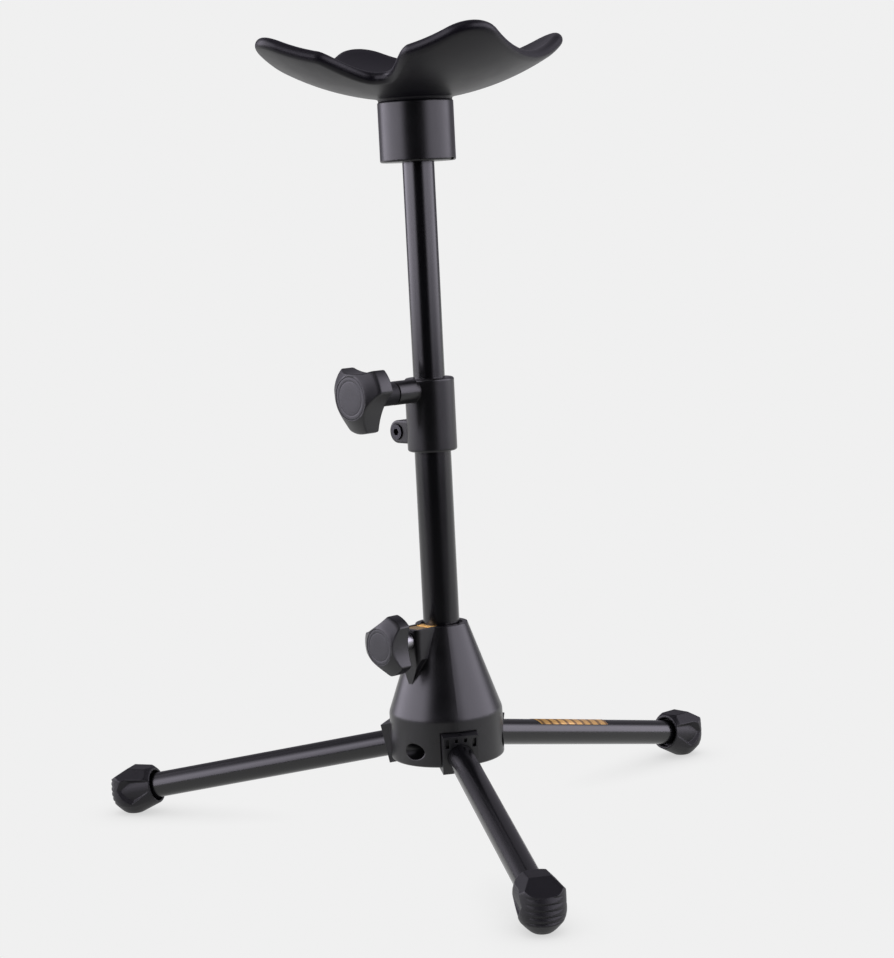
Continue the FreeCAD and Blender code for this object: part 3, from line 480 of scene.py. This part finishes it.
def soften(piece, voxel, rounds):
    """Melts a piece's parts into one skin with small, even radii on its edges."""
    melt = piece.modifiers.new("melt", "REMESH")
    melt.mode = "VOXEL"
    melt.voxel_size = voxel
    melt.use_smooth_shade = True
    relax = piece.modifiers.new("relax", "SMOOTH")
    relax.factor = 0.5
    relax.iterations = rounds
    evaluate(piece)


def hull(name, points):
    """The convex skin round a cloud of points."""
    work = bmesh.new()
    for point in points:
        work.verts.new(point)
    result = bmesh.ops.convex_hull(work, input=work.verts)
    loose = [item for item in result["geom_interior"] if isinstance(item, bmesh.types.BMVert)]
    bmesh.ops.delete(work, geom=loose, context="VERTS")
    mesh = bpy.data.meshes.new(name)
    work.to_mesh(mesh)
    work.free()
    piece = bpy.data.objects.new(name, mesh)
    bpy.context.scene.collection.objects.link(piece)
    return piece


def bisect(piece, point, normal):
    """Cuts away the side that the normal points to, and closes the cut."""
    work = bmesh.new()
    work.from_mesh(piece.data)
    everything = list(work.verts) + list(work.edges) + list(work.faces)
    result = bmesh.ops.bisect_plane(work, geom=everything, plane_co=point, plane_no=normal,
                                    clear_outer=True)
    edges = [item for item in result["geom_cut"] if isinstance(item, bmesh.types.BMEdge)]
    bmesh.ops.edgenet_fill(work, edges=edges)
    bmesh.ops.recalc_face_normals(work, faces=work.faces)
    work.to_mesh(piece.data)
    work.free()


def dress(piece, slot, body, *replaced):
    """Gives a piece its material, its body and the CAD nodes that it stands for."""
    piece.data.materials.clear()
    piece.data.materials.append(MATERIALS[slot])
    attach(piece, body)
    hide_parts(*replaced)


# ---- cradle ----

DISH_RADIUS = 150 * MM
DISH_THICKNESS = 7.4 * MM
DISH_SIDE = 148 * MM
DISH_CORNER = 21.5 * MM
DISH_TURN = math.radians(-35)
NOTCH_DEPTH = 23 * MM
NOTCH_HALF = 15.5 * MM
NOTCH_SLOPE = 26.8 * MM
DISH_BOSS = 21.9 * MM
OUTLINE_STEPS = 520
SKIN_STEPS = 26
LIP_STEPS = 12
SCREW_BORE = 3 * MM
SCREW_SINK = 6 * MM
SCREW_SINK_DEPTH = 3.3 * MM
SCREW_EDGE = 0.3 * MM


def smooth_step(part):
    """Eases from 0 to 1."""
    part = min(max(part, 0.0), 1.0)
    return part * part * (3 - 2 * part)


def dish_outline():
    """The dish's plan, evenly stepped: a square with two deep notches."""
    half = DISH_SIDE / 2
    flat = half - DISH_CORNER
    dense = []
    for side in range(4):
        turn = Matrix.Rotation(side * math.pi / 2, 2)
        for step in range(400):
            along = -flat + 2 * flat * step / 400
            dip = 0.0
            if side % 2 == 1:
                part = (NOTCH_HALF + NOTCH_SLOPE / 2 - abs(along)) / NOTCH_SLOPE
                dip = NOTCH_DEPTH * smooth_step(part)
            dense.append(turn @ Vector((half - dip, along)))
        for step in range(80):
            angle = math.pi / 2 * step / 80
            corner = Vector((flat + DISH_CORNER * math.cos(angle),
                             flat + DISH_CORNER * math.sin(angle)))
            dense.append(turn @ corner)
    return even_steps(dense, OUTLINE_STEPS)


def even_steps(points, count):
    """Resamples a closed line at equal lengths."""
    total = [0.0]
    loop = points + [points[0]]
    for start, end in zip(loop, loop[1:]):
        total.append(total[-1] + (end - start).length)
    result = []
    at = 0
    for step in range(count):
        want = total[-1] * step / count
        while total[at + 1] <= want:
            at += 1
        part = (want - total[at]) / (total[at + 1] - total[at])
        result.append(loop[at].lerp(loop[at + 1], part))
    return result


def inset(points, amount):
    """Moves a closed anticlockwise line inwards."""
    moved = []
    for step, point in enumerate(points):
        along = points[(step + 1) % len(points)] - points[step - 1]
        along.normalize()
        moved.append(point + amount * Vector((-along.y, along.x)))
    return moved


def make_dish():
    """One skin of rings: the screw hole, the inner face, the lip, the outer face, the boss."""
    hub_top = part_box("cradle_hub")[1][2]
    floor = dish_floor()
    centre = floor + DISH_RADIUS
    middle = DISH_RADIUS + DISH_THICKNESS / 2
    lip = DISH_THICKNESS / 2
    outline = dish_outline()
    rim = inset(outline, lip)

    def on_sphere(plan, radius):
        """The point of a sphere on the line from its centre through a middle-skin plan."""
        down = math.sqrt(middle ** 2 - plan.length_squared)
        ray = Vector((plan.x, plan.y, -down)) / middle
        return Vector((0, 0, centre)) + radius * ray

    def circle(radius, height):
        ring = []
        for plan in rim:
            spoke = plan.normalized() * radius
            ring.append(Vector((spoke.x, spoke.y, height)))
        return ring

    rings = [circle(SCREW_BORE, hub_top), circle(SCREW_BORE, floor - SCREW_SINK_DEPTH),
             circle(SCREW_SINK, floor - SCREW_EDGE)]
    for step in range(SKIN_STEPS):
        part = step / (SKIN_STEPS - 1)
        ring = []
        for plan in rim:
            start = plan.normalized() * (SCREW_SINK + 0.6 * MM)
            ring.append(on_sphere(start.lerp(plan, part), DISH_RADIUS))
        rings.append(ring)
    for step in range(1, LIP_STEPS):
        rings.append(lip_ring(rim, on_sphere, middle, lip, math.pi * step / LIP_STEPS))
    for step in range(SKIN_STEPS):
        part = step / (SKIN_STEPS - 1)
        ring = []
        for plan in rim:
            end = plan.normalized() * (DISH_BOSS + 1.4 * MM)
            ring.append(on_sphere(plan.lerp(end, part), DISH_RADIUS + DISH_THICKNESS))
        rings.append(ring)
    under = rings[-1][0].z
    rings.append(circle(DISH_BOSS + 0.4 * MM, under - 0.5 * MM))
    rings.append(circle(DISH_BOSS, under - 1.4 * MM))
    rings.append(circle(DISH_BOSS, hub_top))
    points, faces = loft(rings, closed_path=True)
    dish = new_piece("dish", points, faces)
    dish.data.transform(Matrix.Translation(COLUMN) @ Matrix.Rotation(DISH_TURN, 4, "Z"))
    dress(dish, "cradle_plastic", "upper_post", "cradle_dish")


def dish_floor():
    """Height of the dish's inner floor, which its screw's head lies just under."""
    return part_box("cradle_screw")[1][2] + SCREW_EDGE


def lip_ring(rim, on_sphere, middle, lip, angle):
    """One ring of the full-round lip; the angle goes from the inner skin to the outer."""
    ring = []
    for step, plan in enumerate(rim):
        base = on_sphere(plan, middle)
        along = on_sphere(rim[(step + 1) % len(rim)], middle) - on_sphere(rim[step - 1], middle)
        inward = on_sphere(plan, middle - lip) - base
        outward = along.cross(inward).normalized()
        if outward.dot(Vector((plan.x, plan.y, 0))) < 0:
            outward.negate()
        ring.append(base + math.cos(angle) * inward + math.sin(angle) * lip * outward)
    return ring


# ---- feet ----

# Lengths in this part of the script are millimetres, unless they say otherwise.

LEG_SLOPE = math.radians(11.5)
FOOT_AHEAD = 1.5 * MM
FOOT_STEPS = 96
BARREL_AHEAD = 3
BARREL_SIDE = 0.94
BARREL = ((5.4, -15.17), (7.0, -14.2), (8.9, -12.6), (10.6, -10.9), (12.4, -9.0), (13.5, -6.6),
          (14.1, -3.8), (14.3, -0.5), (14.3, 1.5), (14.0, 7.7), (13.0, 14.4))
FOOT_TOP = 14.4
FACET_START = 3.8
FACET_SLOPE = Vector((8.3, 0, 12.95))
FLANK_START = 6.2
FLANK_SLOPE = Vector((0, 5.9, 5.5))
SLEEVE = 11.2
SLEEVE_START = -14
MOUTH = 9.7
MOUTH_END = -9
SOCKET = 8.0
SOCKET_END = 6
SOCKET_START = -20
MELT_VOXEL = 0.34
MELT_ROUNDS = 5
RECESS = ((11.3, 1.0), (5.2, 9.6), (-7.4, 10.4), (-19, 11.4), (-19, 4.0), (-8.3, -3.2),
          (0.5, -9.3))
RECESS_MIDDLE = Vector((-5, 1.2))
GROOVES = (6.6, 3.2, -0.2, -3.6, -6.8)
GROOVE_DEPTH = 1.15


def barrel_radius(height):
    """The barrel's radius along the leg at a height, in millimetres."""
    for (low_r, low_z), (high_r, high_z) in zip(BARREL, BARREL[1:]):
        if low_z <= height <= high_z:
            return low_r + (high_r - low_r) * (height - low_z) / (high_z - low_z)
    raise ValueError(height)


def along_leg(distance, radius=0.0, angle=0.0):
    """A point round the leg's axis; local X is level, and distances are in millimetres."""
    axis = Vector((math.cos(LEG_SLOPE), 0, -math.sin(LEG_SLOPE)))
    lift = Vector((math.sin(LEG_SLOPE), 0, math.cos(LEG_SLOPE)))
    side = Vector((0, 1, 0))
    return distance * axis + radius * (math.cos(angle) * lift + math.sin(angle) * side)


def leg_cylinder(name, radius, start, end):
    rings = []
    for distance in (start, end):
        rings.append([along_leg(distance, radius, 2 * math.pi * step / FOOT_STEPS)
                      for step in range(FOOT_STEPS)])
    return new_piece(name, *loft(rings))


def recess_tool(side):
    """A tapering plug over one flank, wider outside."""
    rings = []
    for across, size in ((8.0, 0.42), (14.5, 1.12)):
        ring = []
        for place in RECESS:
            spot = RECESS_MIDDLE + size * (Vector(place) - RECESS_MIDDLE)
            ring.append(Vector((spot.x, side * across, spot.y)))
        rings.append(ring)
    return new_piece("recess_tool", *loft(rings))


def groove_tool(height):
    """A wedge-shaped ring over the outer face; it runs out to nothing at the flanks."""
    reach = barrel_radius(height - 1)
    radius = reach + 0.2
    centre = BARREL_AHEAD + reach - GROOVE_DEPTH - radius
    rings = []
    for step in range(41):
        angle = math.radians(-100 + 5 * step)
        spoke = Vector((math.cos(angle), BARREL_SIDE * 1.06 * math.sin(angle), 0))
        ring = []
        for out, drop in ((0, 0), (4, -0.6), (4, 9)):
            spot = Vector((centre, 0, height)) + (radius + out) * spoke
            ring.append(spot - Vector((0, 0, drop)))
        rings.append(ring)
    return new_piece("groove_tool", *loft(rings))


def make_foot_shape():
    """The rubber foot about its centre on the leg's axis, in millimetres."""
    barrel = []
    for ring in lathe_rings(BARREL, FOOT_STEPS):
        for point in ring:
            barrel.append(Vector((BARREL_AHEAD + point.x, BARREL_SIDE * point.y, point.z)))
    mouth = [along_leg(SLEEVE_START, SLEEVE, 2 * math.pi * step / FOOT_STEPS)
             for step in range(FOOT_STEPS)]
    foot = hull("foot_shape", barrel + mouth)
    bisect(foot, Vector((0, 0, FOOT_TOP)), Vector((0, 0, 1)))
    bisect(foot, Vector((FACET_START, 0, FOOT_TOP)), FACET_SLOPE.normalized())
    for side in (-1, 1):
        slope = Vector((0, side * FLANK_SLOPE.y, FLANK_SLOPE.z))
        bisect(foot, Vector((0, side * FLANK_START, FOOT_TOP)), slope.normalized())
    for side in (-1, 1):
        combine(foot, recess_tool(side))
    for height in GROOVES:
        combine(foot, groove_tool(height))
    combine(foot, leg_cylinder("sleeve", SLEEVE, SLEEVE_START, 9), "UNION")
    combine(foot, leg_cylinder("mouth", MOUTH, SOCKET_START, MOUTH_END))
    combine(foot, leg_cylinder("socket", SOCKET, SOCKET_START, SOCKET_END))
    soften(foot, MELT_VOXEL, MELT_ROUNDS)
    return foot


def make_feet():
    shape = make_foot_shape()
    mounts = {mount["name"]: mount for mount in frame["record"]["mounts"]}
    for leg in LEG_NAMES:
        contact = Vector(mounts["foot_rest_" + leg]["pos_m"])
        pivot = Vector(joints["leg_fold_" + leg]["pos_m"])
        out = Vector((math.cos(LEG_AZIMUTH[leg]), math.sin(LEG_AZIMUTH[leg]), 0))
        centre = contact - FOOT_AHEAD * out
        fall = (centre - Vector((pivot.x, pivot.y, 0))).length * math.tan(LEG_SLOPE)
        centre.z = pivot.z - fall
        foot = bpy.data.objects.new("rubber_foot_" + leg, shape.data.copy())
        bpy.context.scene.collection.objects.link(foot)
        turn = Matrix.Rotation(LEG_AZIMUTH[leg], 4, "Z")
        foot.data.transform(Matrix.Translation(centre) @ turn @ Matrix.Scale(MM, 4))
        dress(foot, "foot_rubber", "leg_" + leg, "foot_" + leg)
    mesh = shape.data
    bpy.data.objects.remove(shape)
    bpy.data.meshes.remove(mesh)


# ---- knobs ----

KNOB_LOBE = 21.0
KNOB_WAIST = 13.6
KNOB_GRIP = 37.7
KNOB_DISC = 12.2
KNOB_FRONT = 15.0
KNOB_SLOPE = 7.0 / 10.2
KNOB_BORE = 3.05
KNOB_HUB = 6.8
DISC_SINK = 0.5 * MM
# Name, length of the neck behind the grip, turn in degrees, size.
KNOBS = (("lower_knob", 0, 30, 0.88), ("upper_knob", 17.0, -2, 1.03))


def knob_outline():
    """Three broad lobes with hollows between them, as an even closed line."""
    centre = KNOB_WAIST + KNOB_GRIP
    reach = (KNOB_LOBE ** 2 + centre ** 2 - KNOB_GRIP ** 2) / (2 * KNOB_LOBE * centre)
    meet = math.acos(reach)
    dense = []
    for lobe in range(3):
        turn = 2 * math.pi * lobe / 3
        hollow = Vector((centre * math.cos(turn), centre * math.sin(turn)))
        edge = Vector((KNOB_LOBE * math.cos(turn - meet), KNOB_LOBE * math.sin(turn - meet)))
        start = (edge - hollow).angle_signed(-hollow.normalized())
        for step in range(80):
            swing = start * (1 - 2 * step / 79)
            spoke = Matrix.Rotation(swing, 2) @ (-hollow.normalized())
            dense.append(hollow + KNOB_GRIP * spoke)
        gap = 2 * math.pi / 3 - 2 * meet
        for step in range(1, 40):
            angle = turn + meet + gap * step / 40
            dense.append(Vector((KNOB_LOBE * math.cos(angle), KNOB_LOBE * math.sin(angle))))
    return smooth_line(even_steps(dense, 360), 7)


def smooth_line(points, rounds):
    """Rounds the corners of a closed line a little."""
    for _ in range(rounds):
        following = points[1:] + points[:1]
        before = points[-1:] + points[:-1]
        points = [(a + 2 * b + c) / 4 for a, b, c in zip(before, points, following)]
    return points


def knob_rings(outline, hub_length):
    """Rings from the back of the knob to the wall of the disc's seat."""
    def level(amount, height):
        return [Vector((point.x, point.y, height)) for point in inset(outline, amount)]

    def slope_height(radius):
        return KNOB_FRONT - max(0, radius - KNOB_DISC - 0.6) * KNOB_SLOPE

    def circle(radius, height):
        return [Vector((*(radius * point.normalized()), height)) for point in outline]

    rings = []
    if hub_length:
        rings += [circle(KNOB_BORE, 6), circle(KNOB_BORE, -hub_length),
                  circle(KNOB_HUB - 0.4, -hub_length), circle(KNOB_HUB, 0.4 - hub_length),
                  circle(KNOB_HUB, -0.9), circle(KNOB_HUB + 0.8, -0.1)]
    else:
        rings += [circle(KNOB_BORE, 6), circle(KNOB_BORE, 0)]
    rings += [circle(9.5, 0), level(1.3, 0), level(0.5, 0.25), level(0.12, 0.7), level(0, 1.4)]
    ridge = [slope_height(point.length) for point in outline]
    for drop, amount in ((1.3, 0), (0.55, 0.04), (0.2, 0.22)):
        ring = []
        for point, height in zip(inset(outline, amount), ridge):
            ring.append(Vector((point.x, point.y, height - drop)))
        rings.append(ring)
    for part in (0.1, 0.25, 0.45, 0.7, 0.9):
        ring = []
        for point in outline:
            spot = point.lerp((KNOB_DISC + 0.6) * point.normalized(), part)
            ring.append(Vector((spot.x, spot.y, slope_height(spot.length))))
        rings.append(ring)
    for wider, drop in ((0.75, 0.16), (0.45, 0), (0.2, 0.04), (0.04, 0.25), (0, 1)):
        rings.append(circle(KNOB_DISC + wider, KNOB_FRONT - drop))
    return rings


def disc_rings():
    """A plain disc with a soft edge and one shallow ring groove."""
    profile = [(KNOB_DISC, -1.0), (KNOB_DISC, -0.34), (KNOB_DISC - 0.12, -0.16),
               (KNOB_DISC - 0.4, -0.08), (10.4, -0.04), (10.1, -0.08), (9.85, -0.2),
               (9.6, -0.2), (9.35, -0.08), (9.05, -0.04), (5, -0.03), (0.5, -0.03)]
    return lathe_rings([(radius, KNOB_FRONT + height) for radius, height in profile], 128)


def knob_matrix(joint, back, turn, size):
    """Local Z points out along the knob's axis, from the knob's rear face."""
    axis = Vector(joint["axis"])
    up = Vector((0, 0, 1))
    across = axis.cross(up)
    facing = Matrix((up, across, axis)).transposed()
    place = Vector(joint["pos_m"]) + back * axis
    spin = Matrix.Rotation(math.radians(turn), 4, "Z")
    return Matrix.Translation(place) @ facing.to_4x4() @ spin @ Matrix.Scale(size * MM, 4)


def make_knobs():
    """Each grip and its disc, set by the middle of the disc in the frame."""
    outline = knob_outline()
    for name, hub_length, turn, size in KNOBS:
        joint = joints[name + "_turn"]
        disc_low, disc_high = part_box(name + "_disc")
        middle = (Vector(disc_low) + Vector(disc_high)) / 2 - Vector(joint["pos_m"])
        back = middle.dot(Vector(joint["axis"])) - size * KNOB_FRONT * MM + DISC_SINK
        place = knob_matrix(joint, back, turn, size)
        grip = new_piece(name + "_grip", *loft(knob_rings(outline, hub_length)))
        grip.data.transform(place)
        dress(grip, "knob_plastic", name, name)
        disc = new_piece(name + "_cap", *loft(disc_rings()))
        disc.data.transform(place)
        dress(disc, "disc_plastic", name, name + "_disc")


# ---- printed band ----

BAND_HALF = math.radians(46)
BAND_INNER = 8.02
BAND_OUTER = 8.14
BAND_BACK = 48.5
BAND_SLANT = 5
BAND_FRONT = 18.5
BAND_STEPS = 32


def make_band():
    """Thin film over the top of the right leg's tube, with one end cut aslant."""
    cad_name = "leg_band"
    low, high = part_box(cad_name)
    azimuth = LEG_AZIMUTH["right"]
    out = Vector((math.cos(azimuth), math.sin(azimuth), 0))
    pivot = Vector(joints["leg_fold_right"]["pos_m"])
    middle = (Vector(low) + Vector(high)) / 2 - pivot
    centre = middle.dot(out) / math.cos(LEG_SLOPE)
    end = centre / MM + BAND_FRONT
    loops = []
    for step in range(BAND_STEPS + 1):
        angle = BAND_HALF * (2 * step / BAND_STEPS - 1)
        start = centre / MM - BAND_BACK + BAND_SLANT * (0.5 - 0.5 * angle / BAND_HALF)
        loops.append([along_leg(start, BAND_INNER, angle), along_leg(end, BAND_INNER, angle),
                      along_leg(end, BAND_OUTER, angle), along_leg(start, BAND_OUTER, angle)])
    band = new_piece("film_band", *loft(loops))
    turn = Matrix.Rotation(azimuth, 4, "Z")
    band.data.transform(Matrix.Translation(pivot) @ turn @ Matrix.Scale(MM, 4))
    dress(band, "gold_band", "leg_right", cad_name)


make_camera()
make_world()
make_floor()
make_top_box()
bpy.context.scene.view_settings.view_transform = "Standard"
paint_frame()
make_dish()
make_feet()
make_knobs()
make_band()
